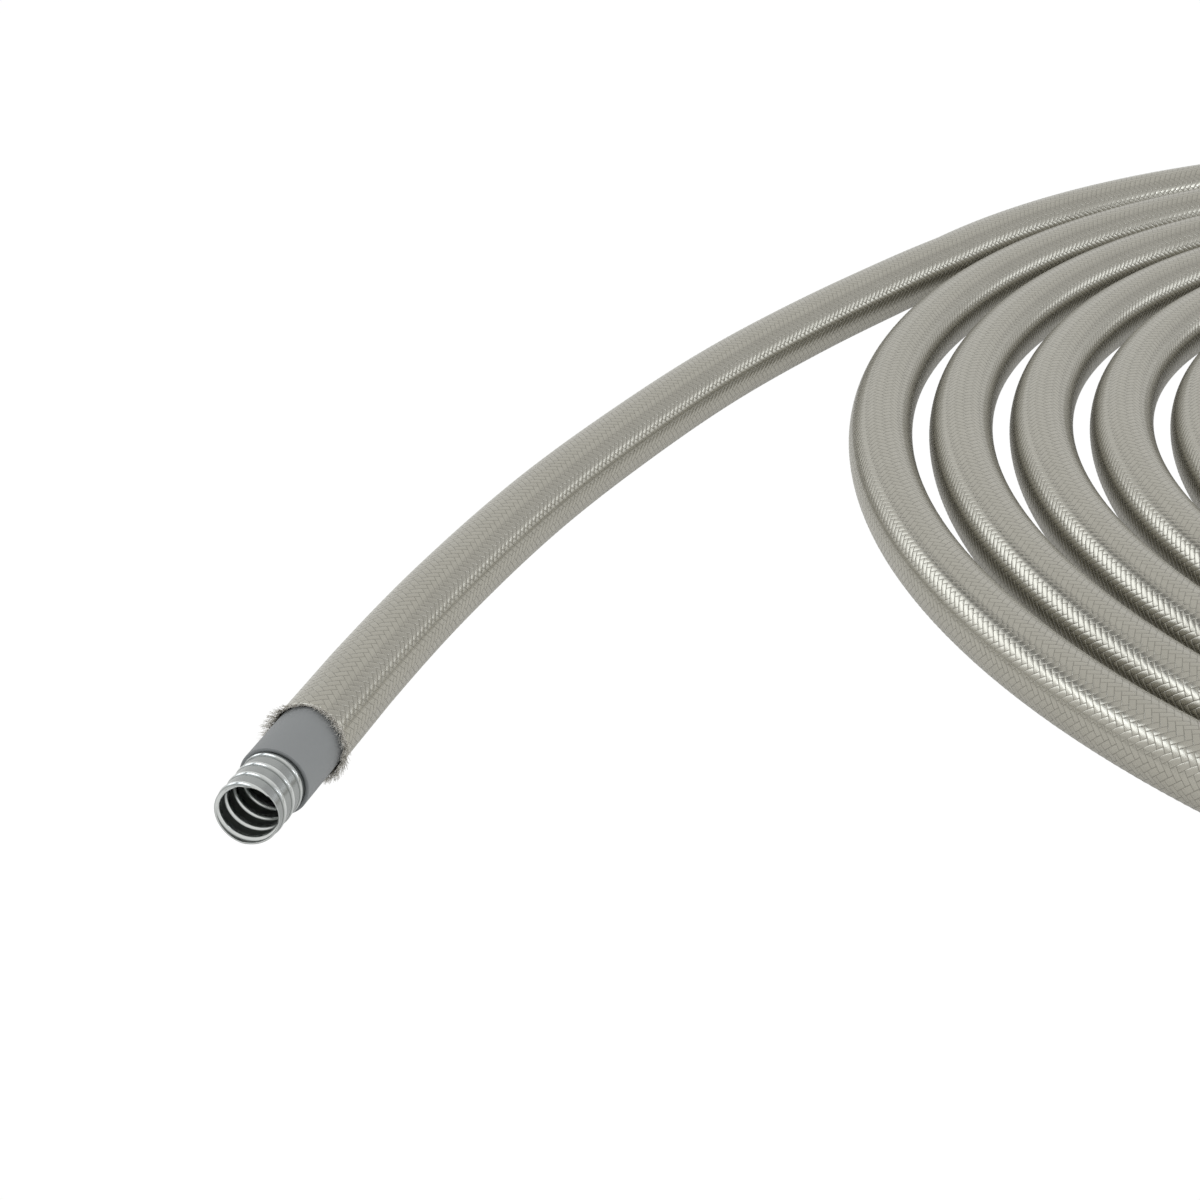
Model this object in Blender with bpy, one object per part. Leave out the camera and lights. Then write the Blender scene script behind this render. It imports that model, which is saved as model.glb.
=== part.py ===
# Insulated braided metal hose: a strip-wound steel core, a smooth plastic jacket over it and a
# woven wire braid over both, stripped back in steps at one end and laid on the floor as a flat coil.
# Metres, +Z up, floor at z = 0. The stripped end faces -Y.

import math

import bpy
import numpy as np

# Layers of the hose, from the bore outwards
BORE_RADIUS = 0.0085
CORE_WALL = 0.00165
JACKET_WALL = 0.00065
BRAID_WALL = 0.0006
LAYER_GAP = 0.0003

# Interlocked strip of the core
STRIP_PITCH = 0.0057
STRIP_GROOVE_DEPTH = 0.0004
STRIP_RECESS_DEPTH = 0.00075
STRIP_RIDGE_SHARE = 0.32
STRIP_RECESS_SHARE = 0.6
STRIP_EDGE_SHARE = 0.12
STRIP_SAMPLES = 6
STRIP_HIDDEN_LENGTH = 0.002

# Woven wires of the braid
STRANDS_EACH_WAY = 24
WEAVE_RELIEF = 0.0003
WOVEN_CROSSINGS = 8
FRINGE_LENGTH = 0.0053
FRINGE_FLARE = 0.0020
FRINGE_NOTCH = 0.0016

# Steps of the stripped end
CORE_EXPOSED = 0.0196
JACKET_EXPOSED = 0.0361
STRAIGHT_MARGIN = 0.00414

# Route in plan, about the coil's centre
HOSE_LENGTH = 10.0
COIL_START_RADIUS = 0.3726
COIL_START_ANGLE = math.radians(-70.0)
TURN_GAP = 0.0063
LEAD_POINTS = (
    (-0.4500, -0.3150),
    (-0.4475, -0.2500),
    (-0.4400, -0.1750),
    (-0.4275, -0.1050),
    (-0.4110, -0.0350),
    (-0.3900, 0.0300),
    (-0.3650, 0.0940),
)

# Facets along and around the hose
ROUND_SIDES = 24
SIDES = 8
STATIONS_PER_TURN = 20
STATIONS_PER_LEAD_SPAN = 1
SAMPLES_PER_LEAD_SPAN = 20
COIL_LEAN_STEP = math.radians(10.0)
SMOOTH_ANGLE = math.radians(40.0)
ROUNDING = 1e-9

CORE_OUTER = BORE_RADIUS + CORE_WALL
JACKET_INNER = CORE_OUTER + LAYER_GAP
JACKET_OUTER = JACKET_INNER + JACKET_WALL
BRAID_INNER = JACKET_OUTER + LAYER_GAP
BRAID_OUTER = BRAID_INNER + BRAID_WALL
TURN_PITCH = 2 * BRAID_OUTER + TURN_GAP

JACKET_START = CORE_EXPOSED
BRAID_START = CORE_EXPOSED + JACKET_EXPOSED
WEAVE_SIDES = 2 * STRANDS_EACH_WAY
WEAVE_STEP = 2 * math.pi * BRAID_OUTER / STRANDS_EACH_WAY
WOVEN_END = BRAID_START + WOVEN_CROSSINGS * WEAVE_STEP
STRAIGHT_LENGTH = WOVEN_END + STRAIGHT_MARGIN


def clear_scene():
    for item in list(bpy.data.objects):
        bpy.data.objects.remove(item, do_unlink=True)


def surface(name, colour, metallic, roughness):
    made = bpy.data.materials.new(name)
    made.use_nodes = True
    shader = made.node_tree.nodes["Principled BSDF"]
    shader.inputs["Base Color"].default_value = (*colour, 1.0)
    shader.inputs["Metallic"].default_value = metallic
    shader.inputs["Roughness"].default_value = roughness
    made.diffuse_color = (*colour, 1.0)
    return made


def coil_point(angle, beyond_chord=1.0):
    """A point of the flat spiral, its angle counted clockwise from +Y and each turn one pitch further in."""
    turned = angle - COIL_START_ANGLE
    radius = (COIL_START_RADIUS - TURN_PITCH * turned / (2 * math.pi)) * beyond_chord
    return np.array([radius * math.sin(angle), radius * math.cos(angle)])


def angle_after(length):
    """How far round the spiral a length of hose reaches: its length is the mean radius times the angle."""
    shrink = TURN_PITCH / math.pi
    inner_radius = math.sqrt(COIL_START_RADIUS**2 - shrink * length)
    return 2 * (COIL_START_RADIUS - inner_radius) / shrink


def lead_curve(samples):
    """A smooth curve through the lead's points that leaves them along the line of their neighbours."""
    before = np.array(LEAD_POINTS[0]) - (0.0, STRAIGHT_LENGTH)
    after = [coil_point(COIL_START_ANGLE), coil_point(COIL_START_ANGLE + COIL_LEAN_STEP)]
    points = np.array([before, *LEAD_POINTS, *after])
    curve = []
    for i in range(1, len(points) - 2):
        here, there = points[i], points[i + 1]
        span = np.linalg.norm(there - here)
        leave = (there - points[i - 1]) / np.linalg.norm(there - points[i - 1]) * span
        arrive = (points[i + 2] - here) / np.linalg.norm(points[i + 2] - here) * span
        for t in np.arange(samples) / samples:
            curve.append(
                (2 * t**3 - 3 * t**2 + 1) * here
                + (t**3 - 2 * t**2 + t) * leave
                + (3 * t**2 - 2 * t**3) * there
                + (t**3 - t**2) * arrive
            )
    return np.array(curve)


def route_stations():
    """Centres and headings of the sections past the straight end, out to the far end of the hose."""
    fine = lead_curve(SAMPLES_PER_LEAD_SPAN)
    lead_length = np.linalg.norm(np.diff(fine, axis=0), axis=1).sum()
    turned = angle_after(HOSE_LENGTH - STRAIGHT_LENGTH - lead_length)
    step = 2 * math.pi / STATIONS_PER_TURN
    half_sag = 1 + (1 - math.cos(step / 2)) / 2
    angles = COIL_START_ANGLE + np.append(np.arange(0.0, turned - step / 2, step), turned)
    coil = [coil_point(angle, half_sag) for angle in angles]
    centres = np.vstack([lead_curve(STATIONS_PER_LEAD_SPAN), coil])
    along = np.gradient(centres, axis=0)
    along[0] = (0.0, 1.0)
    along[-1] = (math.cos(angles[-1]), -math.sin(angles[-1]))
    return centres, along / np.linalg.norm(along, axis=1)[:, None]


def section(centre, heading, radius, sides):
    """A ring of points round a centre, counted from the hose's right side, with its flats on top and below."""
    angles = 2 * math.pi * (np.arange(sides) + 0.5) / sides
    across = radius * np.cos(angles)
    x = centre[0] + heading[1] * across
    y = centre[1] - heading[0] * across
    return np.stack([x, y, BRAID_OUTER + radius * np.sin(angles)], axis=1)


def end_section(along, radius, sides):
    """A ring on the straight end. Its distance from the cut end and its radius may vary from point to point."""
    ring = section(LEAD_POINTS[0], (0.0, 1.0), radius, sides)
    ring[:, 1] += along - STRAIGHT_LENGTH
    return ring


def corner_radius(flat_radius):
    """The corner radius of a section whose flats lie at the given radius."""
    return flat_radius / math.cos(math.pi / SIDES)


def plain_rings(stations, flat_radius):
    """Round as far as the woven stretch reaches, then flat-sided along the route."""
    round_end = end_section(WOVEN_END, flat_radius, ROUND_SIDES)
    return [round_end] + [section(c, h, corner_radius(flat_radius), SIDES) for c, h in zip(*stations)]


def bridge(first, first_count, second, second_count, rising):
    """Triangles between two rings of any counts. A rising quad is split along its other diagonal."""
    faces = []
    i = j = 0
    while i < first_count or j < second_count:
        a, b = first + i % first_count, second + j % second_count
        next_a, next_b = first + (i + 1) % first_count, second + (j + 1) % second_count
        step_first = abs((i + 1.5) / first_count - (j + 0.5) / second_count)
        step_second = abs((i + 0.5) / first_count - (j + 1.5) / second_count)
        if first_count == second_count and rising(i):
            faces += [(a, b, next_b), (a, next_b, next_a)]
            i, j = i + 1, j + 1
        elif j == second_count or (i < first_count and step_first <= step_second + ROUNDING):
            faces.append((a, b, next_a))
            i += 1
        else:
            faces.append((a, b, next_b))
            j += 1
    return faces


def closed_loft(name, rings, material, rising=lambda ring, side: False):
    """One body skinned over rings that run out along its outer face and back along its inner one."""
    starts = np.cumsum([0] + [len(ring) for ring in rings])
    faces = []
    for k in range(len(rings)):
        after = (k + 1) % len(rings)
        faces += bridge(
            int(starts[k]), len(rings[k]), int(starts[after]), len(rings[after]),
            lambda side, ring=k: rising(ring, side),
        )
    mesh = bpy.data.meshes.new(name)
    mesh.from_pydata(np.vstack(rings).tolist(), [], faces)
    mesh.shade_smooth()
    mesh.set_sharp_from_angle(angle=SMOOTH_ANGLE)
    mesh.materials.append(material)
    made = bpy.data.objects.new(name, mesh)
    bpy.context.scene.collection.objects.link(made)
    return made


def raised(phase, share):
    """1 on the raised share of each pitch, 0 between, with a short slope at both edges."""
    from_middle = np.abs((phase + 0.5) % 1.0 - 0.5)
    return np.clip((share / 2 + STRIP_EDGE_SHARE / 2 - from_middle) / STRIP_EDGE_SHARE, 0.0, 1.0)


def steel_core(stations):
    """One steel strip wound into a helix, its edges hooked into each other: ridges outside, recesses inside."""
    around = (np.arange(ROUND_SIDES) + 0.5) / ROUND_SIDES
    length = CORE_EXPOSED + STRIP_HIDDEN_LENGTH
    outside, inside = [], []
    for along in np.arange(0.0, length, STRIP_PITCH / STRIP_SAMPLES):
        phase = along / STRIP_PITCH - around
        outer = CORE_OUTER - STRIP_GROOVE_DEPTH * (1 - raised(phase, STRIP_RIDGE_SHARE))
        inner = BORE_RADIUS + STRIP_RECESS_DEPTH * raised(phase, STRIP_RECESS_SHARE)
        outside.append(end_section(along, outer, ROUND_SIDES))
        inside.append(end_section(along, inner, ROUND_SIDES))
    hidden = length + STRIP_PITCH
    outside += [end_section(hidden, CORE_OUTER, ROUND_SIDES), *plain_rings(stations, CORE_OUTER)]
    inside += [end_section(hidden, BORE_RADIUS, ROUND_SIDES), *plain_rings(stations, BORE_RADIUS)]
    colour = surface("galvanised_steel", (0.62, 0.64, 0.63), 1.0, 0.3)
    return closed_loft("steel_core", outside + inside[::-1], colour)


def jacket(stations):
    """A smooth extruded tube, cut square."""
    outside = [end_section(JACKET_START, JACKET_OUTER, ROUND_SIDES), *plain_rings(stations, JACKET_OUTER)]
    inside = [end_section(JACKET_START, JACKET_INNER, ROUND_SIDES), *plain_rings(stations, JACKET_INNER)]
    colour = surface("grey_plastic", (0.25, 0.26, 0.27), 0.0, 0.42)
    return closed_loft("jacket", outside + inside[::-1], colour)


def fringe(radius, floor):
    """The flared wire ends in front of the braid's cut edge, notched, and pressed flat where they meet the floor."""
    teeth = FRINGE_NOTCH * (np.arange(WEAVE_SIDES) % 2)
    ring = end_section(BRAID_START - FRINGE_LENGTH + teeth, radius, WEAVE_SIDES)
    ring[:, 2] = np.maximum(ring[:, 2], floor)
    return ring


def woven_rings():
    """Rings half a crossing apart: every other point lies on a strand's crown, and the rest lie between strands."""
    rings = []
    sides = np.arange(WEAVE_SIDES)
    for m in range(2 * WOVEN_CROSSINGS + 1):
        on_crown = (sides + m) % 2
        radius = BRAID_OUTER - WEAVE_RELIEF * (1 - on_crown)
        rings.append(end_section(BRAID_START + m * WEAVE_STEP / 2, radius, WEAVE_SIDES))
    return rings


def overbraid(stations):
    """Wires woven two over and two under. Each float's ridge follows its strand, so a quad's split sets its slant."""
    woven = woven_rings()
    first_woven = 1
    last_woven = first_woven + len(woven) - 1

    def rising(ring, side):
        if not first_woven <= ring < last_woven:
            return False
        if (side + ring - first_woven) % 2:
            return side % 4 == 2
        return side % 4 != 0

    outside = [fringe(BRAID_OUTER + FRINGE_FLARE, 0.0), *woven, *plain_rings(stations, BRAID_OUTER)[1:]]
    inside = [
        fringe(BRAID_OUTER + FRINGE_FLARE - BRAID_WALL, BRAID_WALL),
        end_section(BRAID_START, BRAID_INNER, ROUND_SIDES),
        *plain_rings(stations, BRAID_INNER),
    ]
    colour = surface("steel_wire_braid", (0.42, 0.41, 0.37), 1.0, 0.38)
    return closed_loft("overbraid", outside + inside[::-1], colour, rising)


def centre_on_origin(objects):
    """Moves the coil so that the middle of the hose's plan box lies on the origin."""
    points = np.array([vertex.co for item in objects for vertex in item.data.vertices])
    middle = (points.min(axis=0) + points.max(axis=0)) / 2
    for item in objects:
        item.location = (-middle[0], -middle[1], 0.0)


def main():
    clear_scene()
    stations = route_stations()
    centre_on_origin([steel_core(stations), jacket(stations), overbraid(stations)])


main()
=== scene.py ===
# Looks of an insulated braided metal hose: a strip-wound steel core, a smooth grey jacket and a
# woven wire braid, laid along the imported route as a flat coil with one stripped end.
import math

import bpy
import numpy as np
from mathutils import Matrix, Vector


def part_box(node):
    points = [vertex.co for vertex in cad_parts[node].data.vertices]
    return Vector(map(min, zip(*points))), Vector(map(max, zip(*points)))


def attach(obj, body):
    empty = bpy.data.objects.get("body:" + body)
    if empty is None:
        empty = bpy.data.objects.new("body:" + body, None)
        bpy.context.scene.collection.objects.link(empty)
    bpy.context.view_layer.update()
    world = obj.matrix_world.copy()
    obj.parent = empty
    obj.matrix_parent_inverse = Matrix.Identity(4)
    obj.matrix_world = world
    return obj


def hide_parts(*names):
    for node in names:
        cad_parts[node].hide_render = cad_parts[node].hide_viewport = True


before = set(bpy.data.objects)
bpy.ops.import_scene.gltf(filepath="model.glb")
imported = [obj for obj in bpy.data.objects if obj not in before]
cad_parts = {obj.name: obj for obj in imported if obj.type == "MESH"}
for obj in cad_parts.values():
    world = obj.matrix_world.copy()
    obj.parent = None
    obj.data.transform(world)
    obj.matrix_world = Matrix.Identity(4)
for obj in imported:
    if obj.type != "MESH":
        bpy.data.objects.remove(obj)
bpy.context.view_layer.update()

# The route, as the solids follow it, in metres about the coil's centre
route = {
    "hoseLength": 10.0,
    "coilCentre": (0.0455, 0.0097),
    "leadPoints": [
        (-0.4500, -0.3150),
        (-0.4475, -0.2500),
        (-0.4400, -0.1750),
        (-0.4275, -0.1050),
        (-0.4110, -0.0350),
        (-0.3900, 0.0300),
        (-0.3650, 0.0940),
    ],
    "leadSamples": 16,
    "coilStartRadius": 0.3726,
    "coilStartAngle": math.radians(-70.0),
    "coilLeanStep": 0.1745,
    "turnPitch": 0.0303,
    "centreHeight": 0.0120,
    "finestStep": math.radians(1.5),
}

# The core and the jacket reach further forward at the stripped end than anywhere on the coil
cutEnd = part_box("steel_core")[0][1]
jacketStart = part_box("jacket")[0][1] - cutEnd


def coilPoint(angle):  # radius falls by one pitch a turn, angle clockwise from +Y
    turned = angle - route["coilStartAngle"]
    radius = route["coilStartRadius"] - route["turnPitch"] * turned / (2 * math.pi)
    return np.stack([radius * np.sin(angle), radius * np.cos(angle)], axis=-1)


def leadCurve():  # cubic spans, each leaving its point along the line of the two neighbours
    first = np.array(route["leadPoints"][0])
    straight = first[1] + route["coilCentre"][1] - cutEnd
    start, samples = route["coilStartAngle"], route["leadSamples"]
    onCoil = [coilPoint(start), coilPoint(start + route["coilLeanStep"])]
    points = np.array([first - (0, straight), *route["leadPoints"], *onCoil])
    before, here, there, after = points[:-3], points[1:-2], points[2:-1], points[3:]
    span = np.linalg.norm(there - here, axis=1)[:, None]
    leave = (there - before) / np.linalg.norm(there - before, axis=1)[:, None] * span
    arrive = (after - here) / np.linalg.norm(after - here, axis=1)[:, None] * span
    t = (np.arange(samples) / samples)[None, :, None]
    here, there, leave, arrive = here[:, None], there[:, None], leave[:, None], arrive[:, None]
    curve = (2 * t**3 - 3 * t**2 + 1) * here + (t**3 - 2 * t**2 + t) * leave
    return (curve + (3 * t**2 - 2 * t**3) * there + (t**3 - t**2) * arrive).reshape(-1, 2)


def layRoute():  # distances along the hose, with its centre and heading at each
    start = np.array([[route["leadPoints"][0][0], cutEnd - route["coilCentre"][1]]])
    shrink = route["turnPitch"] / math.pi
    spiralReach = math.sqrt(route["coilStartRadius"] ** 2 - shrink * route["hoseLength"])
    most = 2 * (route["coilStartRadius"] - spiralReach) / shrink
    angles = route["coilStartAngle"] + np.arange(0, most, route["finestStep"])
    points = np.vstack([start, leadCurve(), coilPoint(angles)]) + route["coilCentre"]
    along = np.concatenate([[0], np.cumsum(np.linalg.norm(np.diff(points, axis=0), axis=1))])
    turn = np.unwrap(np.arctan2(*np.gradient(points, along, axis=0).T))
    turn[:2] = 0.0
    return along, points, turn


routeAlong, routePoints, routeTurn = layRoute()


def hosePoints(along, angle, radius):  # centre + right side * r cos(angle) + up * r sin(angle)
    along, angle, radius = np.broadcast_arrays(along, angle, radius)
    x = np.interp(along, routeAlong, routePoints[:, 0])
    y = np.interp(along, routeAlong, routePoints[:, 1])
    turn = np.interp(along, routeAlong, routeTurn)
    across = radius * np.cos(angle)
    z = route["centreHeight"] + radius * np.sin(angle)
    return np.stack([x + np.cos(turn) * across, y - np.sin(turn) * across, z], axis=-1)


def quadMesh(name, points, quads, cornerUv=None):  # smooth faces of four corners each
    mesh = bpy.data.meshes.new(name)
    mesh.vertices.add(points.size // 3)
    mesh.vertices.foreach_set("co", points.reshape(-1).astype(np.float32))
    mesh.loops.add(quads.size)
    mesh.loops.foreach_set("vertex_index", quads.reshape(-1).astype(np.int32))
    mesh.polygons.add(len(quads))
    mesh.polygons.foreach_set("loop_start", np.arange(0, quads.size, 4, dtype=np.int32))
    if cornerUv is not None:
        layer = mesh.uv_layers.new(name="UVMap")
        layer.data.foreach_set("uv", cornerUv.reshape(-1).astype(np.float32))
    mesh.update(calc_edges=True)
    mesh.polygons.foreach_set("use_smooth", np.full(len(quads), True))
    made = bpy.data.objects.new(name, mesh)
    bpy.context.scene.collection.objects.link(made)
    return made


def skin(name, points, uv=None, closedRows=False):  # faces over a grid closed round its sides
    rows, sides = points.shape[:2]
    quadRows = rows if closedRows else rows - 1
    r, s = np.meshgrid(np.arange(quadRows), np.arange(sides), indexing="ij")
    row, nextRow, nextSide = r * sides, (r + 1) % rows * sides, (s + 1) % sides
    quads = np.stack([row + s, nextRow + s, nextRow + nextSide, row + nextSide], axis=-1)
    if uv is not None:  # uv has one row and one column more than there are faces
        uv = np.stack([uv[r, s], uv[r + 1, s], uv[r + 1, s + 1], uv[r, s + 1]], axis=2)
    return quadMesh(name, points, quads.reshape(-1, 4), uv)


def around(sides):  # angles of a ring's points, shared by all its rows
    return (2 * math.pi * (np.arange(sides) + 0.5) / sides)[None, :]


def tube(name, distances, outerRadius, innerRadius, sides):  # out along the outer face, back inside
    along, angle = distances[:, None], around(sides)
    out = hosePoints(along, angle, np.reshape(outerRadius, (-1, 1)))
    back = hosePoints(along[::-1], angle, innerRadius)
    return skin(name, np.concatenate([out, back]), closedRows=True)


def smoothStep(low, high, value):
    t = np.clip((value - low) / (high - low), 0, 1)
    return t * t * (3 - 2 * t)


# Finishes


class Term:  # a shader socket that can stand in a sum
    def __init__(self, finish, socket):
        self.finish, self.socket = finish, socket

    def math(self, operation, *others):
        return self.finish.node("ShaderNodeMath", {"operation": operation}, [self, *others])

    def __add__(self, other):
        return self.math("ADD", other)

    def __sub__(self, other):
        return self.math("SUBTRACT", other)

    def __mul__(self, other):
        return self.math("MULTIPLY", other)

    def __rsub__(self, other):
        return self.finish.node("ShaderNodeMath", {"operation": "SUBTRACT"}, [other, self])

    __radd__ = __add__

    def __mod__(self, other):
        return self.math("FLOORED_MODULO", other)

    def __lt__(self, other):
        return self.math("LESS_THAN", other)

    def ramp(self, low, high):  # 0 below low, 1 above high, smooth between
        settings = {"interpolation_type": "SMOOTHSTEP"}
        values = {"Value": self, "From Min": low, "From Max": high}
        return self.finish.node("ShaderNodeMapRange", settings, values)


class Finish:  # one material and the nodes that feed its shader
    def __init__(self, name, colour, metallic, roughness, **fixed):
        self.material = bpy.data.materials.new(name)
        self.material.use_nodes = True
        self.tree = self.material.node_tree
        self.shader = self.tree.nodes["Principled BSDF"]
        self.set("Base Color", (*colour, 1.0))
        self.set("Metallic", metallic)
        self.set("Roughness", roughness)
        for socket, value in fixed.items():
            self.set(socket.replace("_", " "), value)

    def set(self, socket, value):
        self.fill(self.shader.inputs[socket], value)

    def fill(self, socket, value):
        if isinstance(value, Term):
            self.tree.links.new(value.socket, socket)
        else:
            socket.default_value = value

    def node(self, kind, settings=None, values=None, output=0):
        made = self.tree.nodes.new(kind)
        for key, value in (settings or {}).items():
            setattr(made, key, value)
        named = values.items() if isinstance(values, dict) else enumerate(values or [])
        for key, value in named:
            self.fill(made.inputs[key], value)
        return Term(self, made.outputs[output])

    def mix(self, factor, first, second):  # first where the factor is 0, sockets 6 and 7 take colours
        values = {0: factor, 6: (*first, 1.0) if isinstance(first, tuple) else first}
        values[7] = (*second, 1.0) if isinstance(second, tuple) else second
        return self.node("ShaderNodeMix", {"data_type": "RGBA"}, values, 2)

    def noise(self, scale, detail=3.0):
        place = self.node("ShaderNodeTexCoord", output="Object")
        return self.node("ShaderNodeTexNoise", {}, {"Vector": place, "Scale": scale, "Detail": detail})

    def uv(self):
        spot = self.node("ShaderNodeUVMap", {"uv_map": "UVMap"})
        x = self.node("ShaderNodeSeparateXYZ", {}, [spot])
        return x, Term(self, x.socket.node.outputs["Y"])

    def bump(self, height, depth, strength=1.0):
        values = {"Height": height, "Distance": depth, "Strength": strength}
        self.set("Normal", self.node("ShaderNodeBump", {}, values))


def dress(piece, finish, slot, *nodes):
    piece.data.materials.append(finish.material)
    if nodes:
        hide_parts(*nodes)
    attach(piece, "root")
    print(piece.name, len(piece.data.polygons), "faces")


# Steel core: a strip wound into a helix, its edges hooked into each other
core = {
    "outerRadius": 0.01015,
    "boreRadius": 0.0085,
    "stripWall": 0.00045,
    "pitch": 0.0057,
    "ridgeShare": 0.36,
    "ridgeFront": 0.20,
    "ridgeBack": 0.10,
    "dipPlace": 0.06,
    "dipShare": 0.09,
    "dipDepth": 0.00008,
    "grooveDepth": 0.00034,
    "ridgePhase": 0.04,
    "seamShare": 0.07,
    "seamDepth": 0.00014,
    "recessShare": 0.62,
    "recessEdge": 0.18,
    "recessDepth": 0.00080,
    "recessPhase": 0.744,
    # width of the bore's recesses that take painted shade
    "shadeShare": 0.52,
    "lipStart": 0.0008,
    "lipEnd": 0.0014,
    "mouthLength": 0.046,
    "farLength": 0.012,
    "mouthSides": 96,
    "rowStep": 0.00014,
    "cutBack": 0.0005,
    "cutSlant": 0.0015,
    "cutStep": 0.0006,
    "cutAngle": math.radians(46.0),
    "runOverlap": 0.002,
    "runOuter": 0.00955,
    "runBore": 0.0090,
    "runRings": 400,
    "runSides": 12,
    # the valleys keep this darker base colour, painted shade against the lighter ridges
    "colour": (0.335, 0.35, 0.345),
    "cloudColour": (0.40, 0.415, 0.41),
    # painted highlight: the ridge tops and the bore's inner face take this lighter colour
    "paintedHighlightColour": (0.69, 0.71, 0.70),
    # painted shade: the seams outside and the recesses inside the bore take this darker colour
    "paintedShadeColour": (0.22, 0.235, 0.225),
    "roughness": 0.20,
    "cloudRoughness": 0.08,
    "polishedGloss": 0.05,
    "dullRoughness": 0.3,
    "cloudScale": 300.0,
    "cloudDetail": 4.0,
    "grainScale": 500.0,
    "grainDetail": 2.0,
    "grainDepth": 0.00002,
    "grainStrength": 0.2,
}


def raised(phase, share, edge):  # 1 on the raised share of each pitch, with soft edges
    fromMiddle = np.abs((phase + 0.5) % 1.0 - 0.5)
    return 1 - smoothStep(share / 2 - edge / 2, share / 2 + edge / 2, fromMiddle)


def lappedEdge(phase):  # a sloping front behind the seam, a flat top and a quick fall to the valley
    place = (phase + core["ridgePhase"] + 0.5) % 1.0 - 0.5 + core["ridgeShare"] / 2
    front = np.sin(np.clip(place / core["ridgeFront"], 0, 1) * math.pi / 2)
    back = core["ridgeShare"] - core["ridgeBack"]
    return front * (1 - smoothStep(back, core["ridgeShare"], place))


def stripWound(name, start, end, askew):  # one pitch along for each turn of the angle
    rows = np.arange(0, end - start, core["rowStep"])[:, None]
    angle = around(core["mouthSides"])
    turned = ((core["cutAngle"] - angle) / (2 * math.pi)) % 1.0
    cut = core["cutBack"] + core["cutSlant"] * np.cos(angle) - core["cutStep"] * turned
    along = start + rows + askew * cut * np.exp(-rows / core["pitch"])
    phase = along / core["pitch"] - angle / (2 * math.pi)
    ridge = lappedEdge(phase)
    onRidge, inRecess = phase + core["ridgePhase"], phase + core["recessPhase"]
    dip = raised(onRidge - core["dipPlace"], core["dipShare"], core["dipShare"])
    seam = raised(onRidge + core["ridgeShare"] / 2, core["seamShare"], core["seamShare"])
    outer = core["outerRadius"] - core["grooveDepth"] * (1 - ridge)
    outer = outer - core["dipDepth"] * dip - core["seamDepth"] * seam
    recess = raised(inRecess, core["recessShare"], core["recessEdge"])
    lip = 1 - smoothStep(core["lipStart"], core["lipEnd"], rows)
    deepest = outer - core["stripWall"]
    inner = core["boreRadius"] + core["recessDepth"] * recess
    inner = np.minimum(inner * (1 - lip) + deepest * lip, deepest)
    out = hosePoints(along, angle, outer)
    back = hosePoints(along, angle, inner)[::-1]
    # painted shade: the seam creases outside and the recesses inside the bore are marked for a darker
    # colour and a rougher finish
    shadeAndDull = np.maximum(raised(inRecess, core["shadeShare"], core["seamShare"]) - lip, 0)
    shadeAndDull = np.concatenate([seam, shadeAndDull[::-1], seam[:1]])
    # painted highlight: the ridge tops outside and the whole inner face are marked for a lighter
    # colour and a smoother finish
    highlightAndPolish = np.concatenate([ridge, np.ones_like(ridge), ridge[:1]])
    uv = np.stack([shadeAndDull, highlightAndPolish], axis=-1)
    uv = np.concatenate([uv, uv[:, :1]], axis=1)
    return skin(name, np.concatenate([out, back]), uv, closedRows=True)


def coreFinish():
    finish = Finish("galvanisedSteel", core["colour"], 1.0, core["roughness"])
    cloud = finish.noise(core["cloudScale"], core["cloudDetail"])
    shadeAndDull, highlightAndPolish = finish.uv()
    metal = finish.mix(cloud, core["colour"], core["cloudColour"])
    # painted highlight: a lighter colour on the ridges and inside the bore
    metal = finish.mix(highlightAndPolish, metal, core["paintedHighlightColour"])
    # painted shade: a darker colour in the seams and the bore's recesses
    finish.set("Base Color", finish.mix(shadeAndDull, metal, core["paintedShadeColour"]))
    rough = cloud * core["cloudRoughness"] + core["roughness"] - highlightAndPolish * core["polishedGloss"]
    finish.set("Roughness", rough + shadeAndDull * core["dullRoughness"])
    grain = finish.noise(core["grainScale"], core["grainDetail"])
    finish.bump(grain, core["grainDepth"], core["grainStrength"])
    return finish


def makeCore():
    finish = coreFinish()
    length, mouth, overlap = route["hoseLength"], core["mouthLength"], core["runOverlap"]
    farMouth = length - core["farLength"]
    dress(stripWound("core_stripped_end", 0.0, mouth, 1.0), finish, "core_steel", "steel_core")
    run = np.linspace(mouth - overlap, farMouth + overlap, core["runRings"])
    hidden = tube("core_run", run, core["runOuter"], core["runBore"], core["runSides"])
    dress(hidden, finish, "core_steel")
    dress(stripWound("core_far_end", farMouth, length, 0.0), finish, "core_steel")


# Jacket: smooth extruded plastic, cut square with a small rounded lip
jacket = {
    "outerRadius": 0.01110,
    "innerRadius": 0.00990,
    "lip": 0.00020,
    "lipRings": 5,
    "wallStart": 0.001,
    "wallRings": 24,
    "sides": 72,
    "coveredEnd": 0.075,
    "runOverlap": 0.002,
    "runThinner": 0.0001,
    "runRings": 460,
    "runSides": 16,
    "colour": (0.256, 0.268, 0.276),
    "cloudColour": (0.276, 0.288, 0.296),
    "roughness": 0.5,
    "cloudRoughness": 0.12,
    "gloss": 0.3,
    "cloudScale": 45.0,
    "grainScale": 700.0,
    "grainDetail": 2.0,
    "grainDepth": 0.00005,
    "grainStrength": 0.25,
}


def jacketFinish():
    colour, roughness = jacket["colour"], jacket["roughness"]
    finish = Finish("greyPlastic", colour, 0.0, roughness, Specular_IOR_Level=jacket["gloss"])
    cloud = finish.noise(jacket["cloudScale"])
    finish.set("Base Color", finish.mix(cloud, colour, jacket["cloudColour"]))
    finish.set("Roughness", cloud * jacket["cloudRoughness"] + roughness)
    grain = finish.noise(jacket["grainScale"], jacket["grainDetail"])
    finish.bump(grain, jacket["grainDepth"], jacket["grainStrength"])
    return finish


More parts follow.
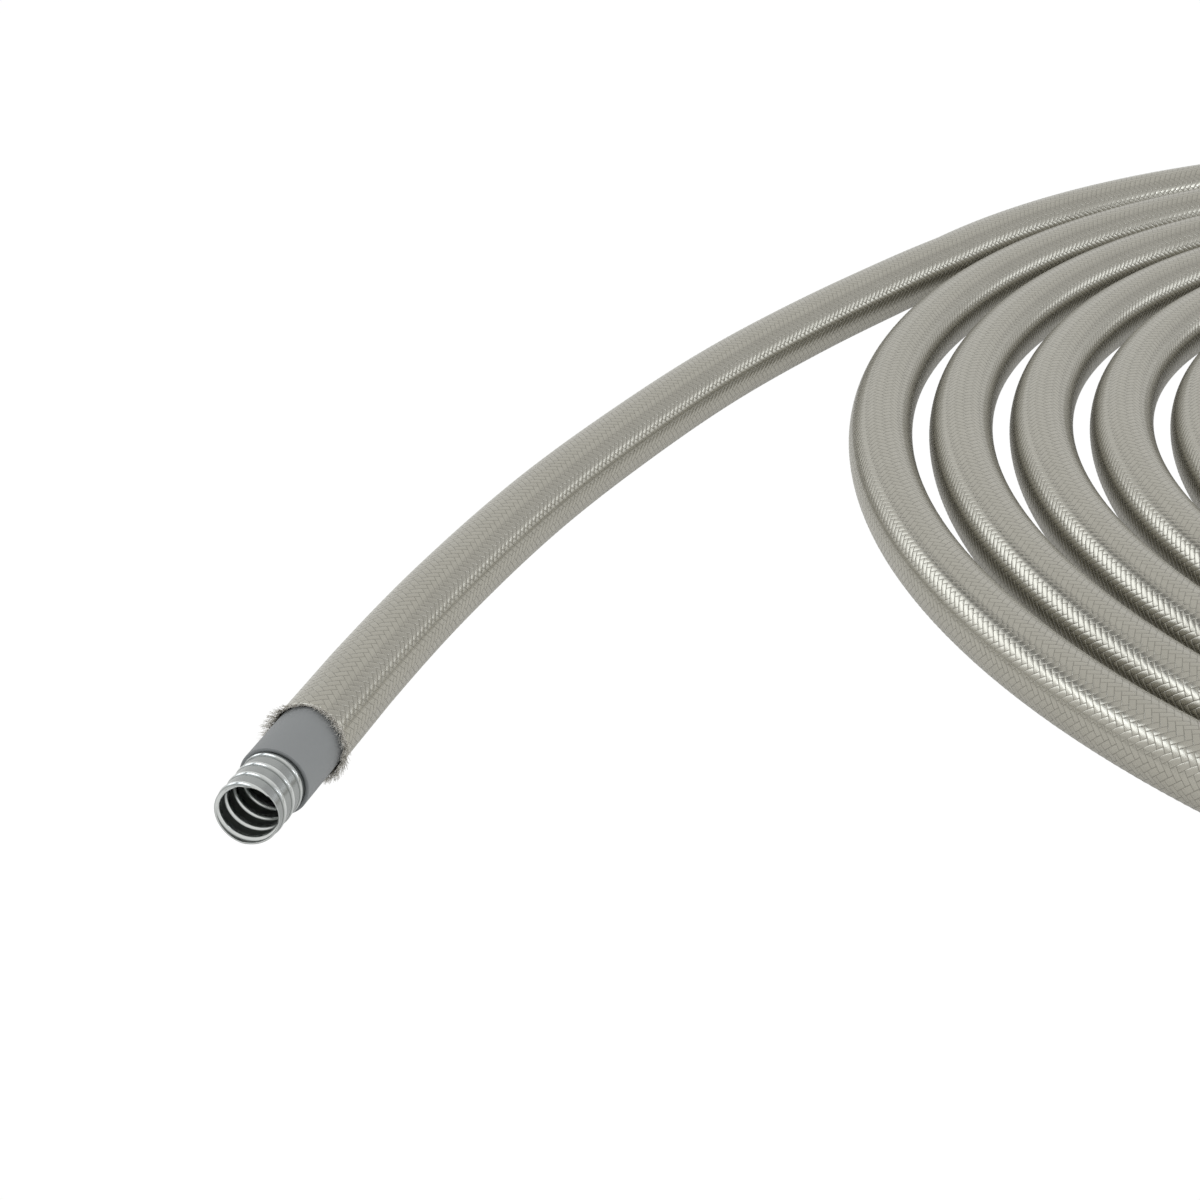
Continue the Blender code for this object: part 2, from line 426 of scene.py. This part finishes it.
def makeJacket():
    finish = jacketFinish()
    outer, inner, thinner = jacket["outerRadius"], jacket["innerRadius"], jacket["runThinner"]
    turn = np.linspace(0, math.pi / 2, jacket["lipRings"])
    lipAlong = jacketStart + jacket["lip"] * (1 - np.cos(turn))
    lipRadius = outer - jacket["lip"] * (1 - np.sin(turn))
    wall = np.linspace(jacketStart + jacket["wallStart"], jacket["coveredEnd"], jacket["wallRings"])
    bareAlong = np.concatenate([lipAlong, wall])
    bareRadius = np.concatenate([lipRadius, np.full(jacket["wallRings"], outer)])
    bare = tube("jacket_bare_end", bareAlong, bareRadius, inner, jacket["sides"])
    runStart = jacket["coveredEnd"] - jacket["runOverlap"]
    run = np.linspace(runStart, route["hoseLength"], jacket["runRings"])
    hidden = tube("jacket_run", run, outer - thinner, inner + thinner, jacket["runSides"])
    dress(bare, finish, "jacket_plastic", "jacket")
    dress(hidden, finish, "jacket_plastic")


# Braid: strands of fine wire, each over two and under two of the other way. Its rim is measured
# from the cut end, where the photograph shows it.
braid = {
    "rim": 0.0455,
    "outerRadius": 0.0120,
    # a dark sheet under the strands: painted shade seen at the rim and between the frayed wires
    "shadeSheetOuter": 0.01150,
    "shadeSheetInner": 0.01130,
    "shadeSheetRings": 420,
    "shadeSheetSides": 14,
    "strandsEachWay": 24,
    "columnShift": 0.25,
    "relief": 0.00030,
    "crownShare": 0.24,
    "archShare": 0.20,
    "nearRows": 288,
    "nearFiner": 2,
    "runPieces": 4,
    "wiresInStrand": 8,
    "wireColour": (0.41, 0.395, 0.345),
    "brightWireColour": (0.48, 0.465, 0.410),
    # painted shade: the dark colour at strand edges and float tips, where strands dive under the other
    # way
    "gapShadeColour": (0.16, 0.152, 0.130),
    "gapShade": 0.6,
    "edgeStart": 0.41,
    "edgeEnd": 0.50,
    "edgeDip": 0.22,
    "tipStart": 0.86,
    "tipEnd": 1.0,
    "tipDip": 0.12,
    "toneShare": 0.25,
    "toneShift": 31.0,
    "cloudShare": 0.45,
    "cloudScale": 60.0,
    # painted shade: share of the stripes that make each wire lighter along its middle and darker
    # between wires
    "wireShadeShare": 0.2,
    "roughness": 0.23,
    "gapRoughness": 0.08,
    "cloudRoughness": 0.06,
    "bumpArch": 0.17,
    "bumpDepth": 0.00022,
    # painted shade: the dark sheet's colour, mottled by noise
    "shadeSheetColour": (0.035, 0.033, 0.028),
    "shadeMottleColour": (0.075, 0.070, 0.060),
    "shadeSheetMetal": 0.6,
    "shadeSheetRoughness": 0.6,
    "shadeMottleScale": 200.0,
}
rowSpacing = math.pi * braid["outerRadius"] / braid["strandsEachWay"]
braidRows = int((route["hoseLength"] - braid["rim"]) / rowSpacing)


def strandHeight(column, row):  # 1 on a strand's crown, less across its width and along its float
    plus, minus = (column - row) / 2, (column + row) / 2
    i, j = np.floor(plus + 0.5), np.floor(minus + 0.5)
    place = (i + j) % 4  # of each four crossings the plus strand is on top at 0 and 1
    plusTop = place < 1.5
    across = np.where(plusTop, plus - i, minus - j)
    onFloat = np.where(plusTop, minus - j + place, plus - i + place - 2) - 0.5
    crown = 1 - braid["crownShare"] * (2 * np.abs(across)) ** 2
    return crown * (1 - braid["archShare"] * onFloat**2)


def wovenSection(name, firstRow, lastRow, finer):  # sections meet open, the braid's two ends turn in
    columns = 2 * braid["strandsEachWay"]
    rows = np.arange(firstRow * finer, lastRow * finer + 1)[:, None] / finer
    sides = np.arange(columns * finer + 1)[None, :] / finer
    radius = braid["outerRadius"] - braid["relief"] * (1 - strandHeight(sides[:, :-1], rows))
    if firstRow == 0:
        radius[0] = braid["shadeSheetOuter"]
    if lastRow == braidRows:
        radius[-1] = braid["shadeSheetOuter"]
    angle = 2 * math.pi * (sides[:, :-1] + braid["columnShift"]) / columns
    along = braid["rim"] + rows * rowSpacing
    uv = np.stack(np.broadcast_arrays(sides / columns, rows / columns), axis=-1)
    return skin(name, hosePoints(along, angle, radius), uv)


def braidFinish():  # the strands' pattern, as strandHeight lays it out
    finish = Finish("steelWireBraid", braid["wireColour"], 1.0, braid["roughness"])
    x, y = finish.uv()
    columns = 2.0 * braid["strandsEachWay"]
    column, row = x * columns, y * columns
    plus, minus = (column - row) * 0.5, (column + row) * 0.5
    i, j = plus.math("ROUND"), minus.math("ROUND")
    place = (i + j) % 4.0
    plusTop = place < 1.5
    minusTop = 1.0 - plusTop
    across = plusTop * (plus - i) + minusTop * (minus - j)
    onFloat = plusTop * (minus - j + place) + minusTop * (plus - i + place - 2.0) - 0.5
    width, reach = across.math("ABSOLUTE"), onFloat.math("ABSOLUTE")
    edge = width.ramp(braid["edgeStart"], braid["edgeEnd"])
    tip = reach.ramp(braid["tipStart"], braid["tipEnd"])
    # painted shade: strand edges and float tips are marked for the dark colour and a rougher finish
    gapShadeMask = (edge + tip).math("MINIMUM", 1.0)
    # painted shade: each wire lighter along its middle and darker between wires, added to the random
    # strand tone and cloud
    wires = (across * (2 * math.pi * braid["wiresInStrand"])).math("COSINE") * 0.5 + 0.5
    strand = plusTop * i + minusTop * (j + braid["toneShift"])
    tone = finish.node("ShaderNodeTexWhiteNoise", {"noise_dimensions": "1D"}, {"W": strand})
    cloud = finish.noise(braid["cloudScale"])
    light = tone * braid["toneShare"] + cloud * braid["cloudShare"] + wires * braid["wireShadeShare"]
    metal = finish.mix(light, braid["wireColour"], braid["brightWireColour"])
    # painted shade darkens the strand edges and float tips
    finish.set("Base Color", finish.mix(gapShadeMask * braid["gapShade"], metal, braid["gapShadeColour"]))
    rough = braid["roughness"] + gapShadeMask * braid["gapRoughness"] + cloud * braid["cloudRoughness"]
    finish.set("Roughness", rough)
    crown = 1.0 - (width * width) * (4 * braid["crownShare"])
    arch = 1.0 - (reach * reach) * braid["bumpArch"]
    dip = 1.0 - edge * braid["edgeDip"] - tip * braid["tipDip"]
    finish.bump(crown * arch * dip, braid["bumpDepth"])
    return finish


def shadeSheetFinish():
    colour, shadeMottleColour = braid["shadeSheetColour"], braid["shadeMottleColour"]
    finish = Finish("braidShade", colour, braid["shadeSheetMetal"], braid["shadeSheetRoughness"])
    finish.set("Base Color", finish.mix(finish.noise(braid["shadeMottleScale"]), colour, shadeMottleColour))
    return finish


def makeBraid():
    finish = braidFinish()
    length, near = route["hoseLength"], braid["nearRows"]
    # painted shade: a dark sheet just under the strands
    rings = np.linspace(braid["rim"], length, braid["shadeSheetRings"])
    outer, inner, sides = braid["shadeSheetOuter"], braid["shadeSheetInner"], braid["shadeSheetSides"]
    shadeSheet = tube("braid_shade_sheet", rings, outer, inner, sides)
    centres = hosePoints(rings, 0.0, 0.0)
    dress(shadeSheet, shadeSheetFinish(), "braid_wire", "overbraid")
    dress(wovenSection("braid_near_end", 0, near, braid["nearFiner"]), finish, "braid_wire")
    cuts = np.linspace(near, braidRows, braid["runPieces"] + 1).astype(int)
    for k in range(braid["runPieces"]):
        dress(wovenSection(f"braid_run_{k + 1}", cuts[k], cuts[k + 1], 1), finish, "braid_wire")


# Frayed wires: where the braid was cut its wire ends flare out round the rim
fringe = {
    "wires": 1500,
    "segments": 4,
    "wireRadius": 0.00006,
    "taper": 0.25,
    "rootRadius": 0.01160,
    "tipRadius": 0.0151,
    "rootDepth": 0.0008,
    "topReach": 0.0007,
    "sideReach": 0.0052,
    "lowReach": 0.0026,
    "leastReach": 0.55,
    "lean": (0.03, 0.16),
    "topFlare": 0.25,
    "leastFlare": 0.1,
    "outwardCurl": 1.4,
    "forwardCurl": 1.15,
    "flareCurl": 0.3,
    "colour": (0.50, 0.47, 0.42),
    "brightColour": (0.95, 0.94, 0.90),
    "metal": 0.7,
    "roughness": 0.5,
    "speckleScale": 900.0,
    "speckleSpan": (0.3, 0.7),
    "seed": 7,
}


def fringeFinish():
    finish = Finish("cutWireEnds", fringe["colour"], fringe["metal"], fringe["roughness"])
    speckle = finish.noise(fringe["speckleScale"]).ramp(*fringe["speckleSpan"])
    finish.set("Base Color", finish.mix(speckle, fringe["colour"], fringe["brightColour"]))
    return finish


def wireSpines():  # from a root under the braid forward over the rim and outward, each with a lean
    rng = np.random.default_rng(fringe["seed"])
    count, top, depth = fringe["wires"], fringe["topFlare"], fringe["rootDepth"]
    t = np.linspace(0, 1, fringe["segments"] + 1)[None, :]
    rootAngle = 2 * math.pi * (np.arange(count) + rng.uniform(-0.5, 0.5, count))[:, None] / count
    lean = rng.choice([-1, 1], count)[:, None] * rng.uniform(*fringe["lean"], count)[:, None]
    angle = rootAngle + lean * t
    side = np.abs(np.cos(rootAngle))
    flare = rng.uniform(fringe["leastFlare"], 1.0, count)[:, None] * (top + (1 - top) * side)
    longest = fringe["topReach"] + (fringe["sideReach"] - fringe["topReach"]) * side
    longest = longest + fringe["lowReach"] * np.clip(-np.sin(rootAngle), 0, 1)
    reach = longest * rng.uniform(fringe["leastReach"], 1.0, count)[:, None]
    outward = (fringe["tipRadius"] - fringe["rootRadius"]) * flare * t ** fringe["outwardCurl"]
    forward = (depth + reach) * t ** (fringe["forwardCurl"] - fringe["flareCurl"] * flare)
    return t, braid["rim"] + depth - forward, angle, fringe["rootRadius"] + outward


def makeFringe():  # four-sided wires, so their caps are quads too
    t, along, angle, radius = wireSpines()
    spine = hosePoints(along, angle, radius)
    spine[..., 2] = np.maximum(spine[..., 2], fringe["wireRadius"])
    forward = np.gradient(spine, axis=1)
    forward /= np.linalg.norm(forward, axis=2, keepdims=True)
    out = hosePoints(along, angle, radius + 1.0) - hosePoints(along, angle, radius)
    sideways = np.cross(forward, out)
    sideways /= np.linalg.norm(sideways, axis=2, keepdims=True)
    out = np.cross(sideways, forward)
    sides, steps = 4, fringe["segments"]
    ring = (2 * math.pi * np.arange(sides) / sides)[:, None]
    thick = fringe["wireRadius"] * (1 - fringe["taper"] * t)[..., None, None]
    across = np.cos(ring) * sideways[:, :, None] + np.sin(ring) * out[:, :, None]
    points = spine[:, :, None] + thick * across
    points[..., 2] = np.maximum(points[..., 2], 0.0)
    r, s = np.meshgrid(np.arange(steps), np.arange(sides), indexing="ij")
    row, nextRow, nextSide = r * sides, (r + 1) * sides, (s + 1) % sides
    wall = np.stack([row + s, row + nextSide, nextRow + nextSide, nextRow + s], axis=-1)
    caps = np.stack([np.arange(sides)[::-1], steps * sides + np.arange(sides)])
    oneWire = np.concatenate([wall.reshape(-1, 4), caps])
    firstPoints = (np.arange(fringe["wires"]) * (steps + 1) * sides)[:, None, None]
    wires = quadMesh("braid_fringe", points, (firstPoints + oneWire).reshape(-1, 4))
    dress(wires, fringeFinish(), "braid_wire")


# Stage: a floor and a white room, three far lights and a near one, two cards and the camera
stage = {
    "floorSize": 14.0,
    "floorDrop": 0.0002,
    "roomSize": 14.0,
    "floorColour": (0.65, 0.65, 0.64),
    "floorRoughness": 0.7,
    "floorGlow": 0.29,
    "skyColour": (0.86, 0.86, 0.85),
    "lightDistance": 6.0,
    "lightColour": (0.89, 0.94, 1.0),
    "endBoxPlace": (-0.548, -0.323, 0.274),
    "endBoxSize": (0.13, 0.19),
    "endBoxBrightness": 2.8,
    "endBoxPitch": 32.0,
    "endBoxYaw": 245.0,
    "cardDistance": 6.3,
    "cameraPlace": (-0.1165, -0.9577, 0.3972),
    "cameraPitch": 63.253,
    "cameraYaw": 17.8,
    "lens": 77.51,
    "sensorWidth": 36.0,
}
lights = {  # azimuth from +X, elevation, width and height in degrees, brightness
    "leftStrip": (165.0, 22.0, 30.0, 18.0, 1.8),
    "rightStrip": (35.0, 16.5, 26.0, 7.0, 2.2),
    "rightBox": (-4.0, 35.0, 18.0, 8.0, 5.0),
}
cards = {  # the same for the cards that only mirror
    "leftCard": (168.0, 38.5, 46.0, 11.0, 0.0),
    "rightCard": (15.0, 36.0, 100.0, 44.0, 0.68),
}


def stagePiece(name, corners, faces, finish):
    made = quadMesh(name, np.array(corners), np.array(faces))
    made.data.materials.append(finish.material)
    return made


def plane(name, width, height, finish):
    x, y = width / 2, height / 2
    corners = [(-x, -y, 0.0), (x, -y, 0.0), (x, y, 0.0), (-x, y, 0.0)]
    return stagePiece(name, corners, [(0, 1, 2, 3)], finish)


def room(name, size, finish):
    ends = (-size / 2, size / 2)
    corners = [(x, y, z) for x in ends for y in ends for z in ends]
    walls = [(0, 1, 3, 2), (4, 6, 7, 5), (0, 4, 5, 1), (2, 3, 7, 6), (0, 2, 6, 4), (1, 5, 7, 3)]
    return stagePiece(name, corners, walls, finish)


def hangInSky(item, azimuth, elevation, distance):  # its -Z towards the coil
    bearing, rise = math.radians(azimuth), math.radians(elevation)
    flat = distance * math.cos(rise)
    item.location = (flat * math.cos(bearing), flat * math.sin(bearing), distance * math.sin(rise))
    item.rotation_euler = (math.pi / 2 - rise, 0, bearing + math.pi / 2)


def spanned(degrees, distance):  # the width that spans so many degrees at a distance
    return 2 * distance * math.tan(math.radians(degrees / 2))


def glowing(name, brightness):
    white = (1.0, 1.0, 1.0, 1.0)
    glow = {"Emission_Color": white, "Emission_Strength": brightness}
    return Finish(name, (0.0, 0.0, 0.0), 0.0, 1.0, **glow)


def makeFloor():  # the metal sees the floor, the camera only the room
    size, roughness, glow = stage["floorSize"], stage["floorRoughness"], stage["floorGlow"]
    paint = Finish("floorPaint", stage["floorColour"], 0.0, roughness, Emission_Strength=glow)
    floor = plane("floor", size, size, paint)
    floor.location.z = -stage["floorDrop"]
    floor.visible_camera = False
    backdrop = room("backdrop", stage["roomSize"], glowing("whitePaper", 1.0))
    backdrop.visible_diffuse = backdrop.visible_glossy = backdrop.visible_shadow = False


def softBox(name, size, brightness):  # seen in the metal only
    lamp = bpy.data.lights.new(name, "AREA")
    lamp.shape = "RECTANGLE"
    lamp.size, lamp.size_y = size
    lamp.energy = brightness * math.pi * lamp.size * lamp.size_y
    lamp.color = stage["lightColour"]
    made = bpy.data.objects.new(name, lamp)
    bpy.context.scene.collection.objects.link(made)
    made.visible_camera = made.visible_diffuse = False
    return made


def makeLights():
    far = stage["lightDistance"]
    for name, (azimuth, elevation, width, height, brightness) in lights.items():
        lamp = softBox(name, (spanned(width, far), spanned(height, far)), brightness)
        hangInSky(lamp, azimuth, elevation, far)
    endBox = softBox("endBox", stage["endBoxSize"], stage["endBoxBrightness"])
    endBox.location = stage["endBoxPlace"]
    endBox.rotation_euler = (math.radians(stage["endBoxPitch"]), 0, math.radians(stage["endBoxYaw"]))
    far = stage["cardDistance"]
    for name, (azimuth, elevation, width, height, brightness) in cards.items():
        card = plane(name, spanned(width, far), spanned(height, far), glowing(name, brightness))
        hangInSky(card, azimuth, elevation, far)
        card.visible_camera = card.visible_diffuse = card.visible_shadow = False


def makeCamera():
    camera = bpy.data.cameras.new("camera")
    camera.lens = stage["lens"]
    camera.sensor_width = stage["sensorWidth"]
    eye = bpy.data.objects.new("camera", camera)
    eye.location = stage["cameraPlace"]
    eye.rotation_euler = (math.radians(stage["cameraPitch"]), 0, math.radians(stage["cameraYaw"]))
    bpy.context.scene.collection.objects.link(eye)
    bpy.context.scene.camera = eye


def makeStage():
    makeFloor()
    makeLights()
    world = bpy.data.worlds.new("studio")
    bpy.context.scene.world = world
    world.use_nodes = True
    world.node_tree.nodes["Background"].inputs["Color"].default_value = (*stage["skyColour"], 1.0)
    makeCamera()
    bpy.context.scene.view_settings.view_transform = "Standard"


makeStage()
print("stage set")
makeBraid()
print("braid laid")
makeFringe()
print("braid frayed")
makeJacket()
print("jacket drawn on")
makeCore()
print("core wound")
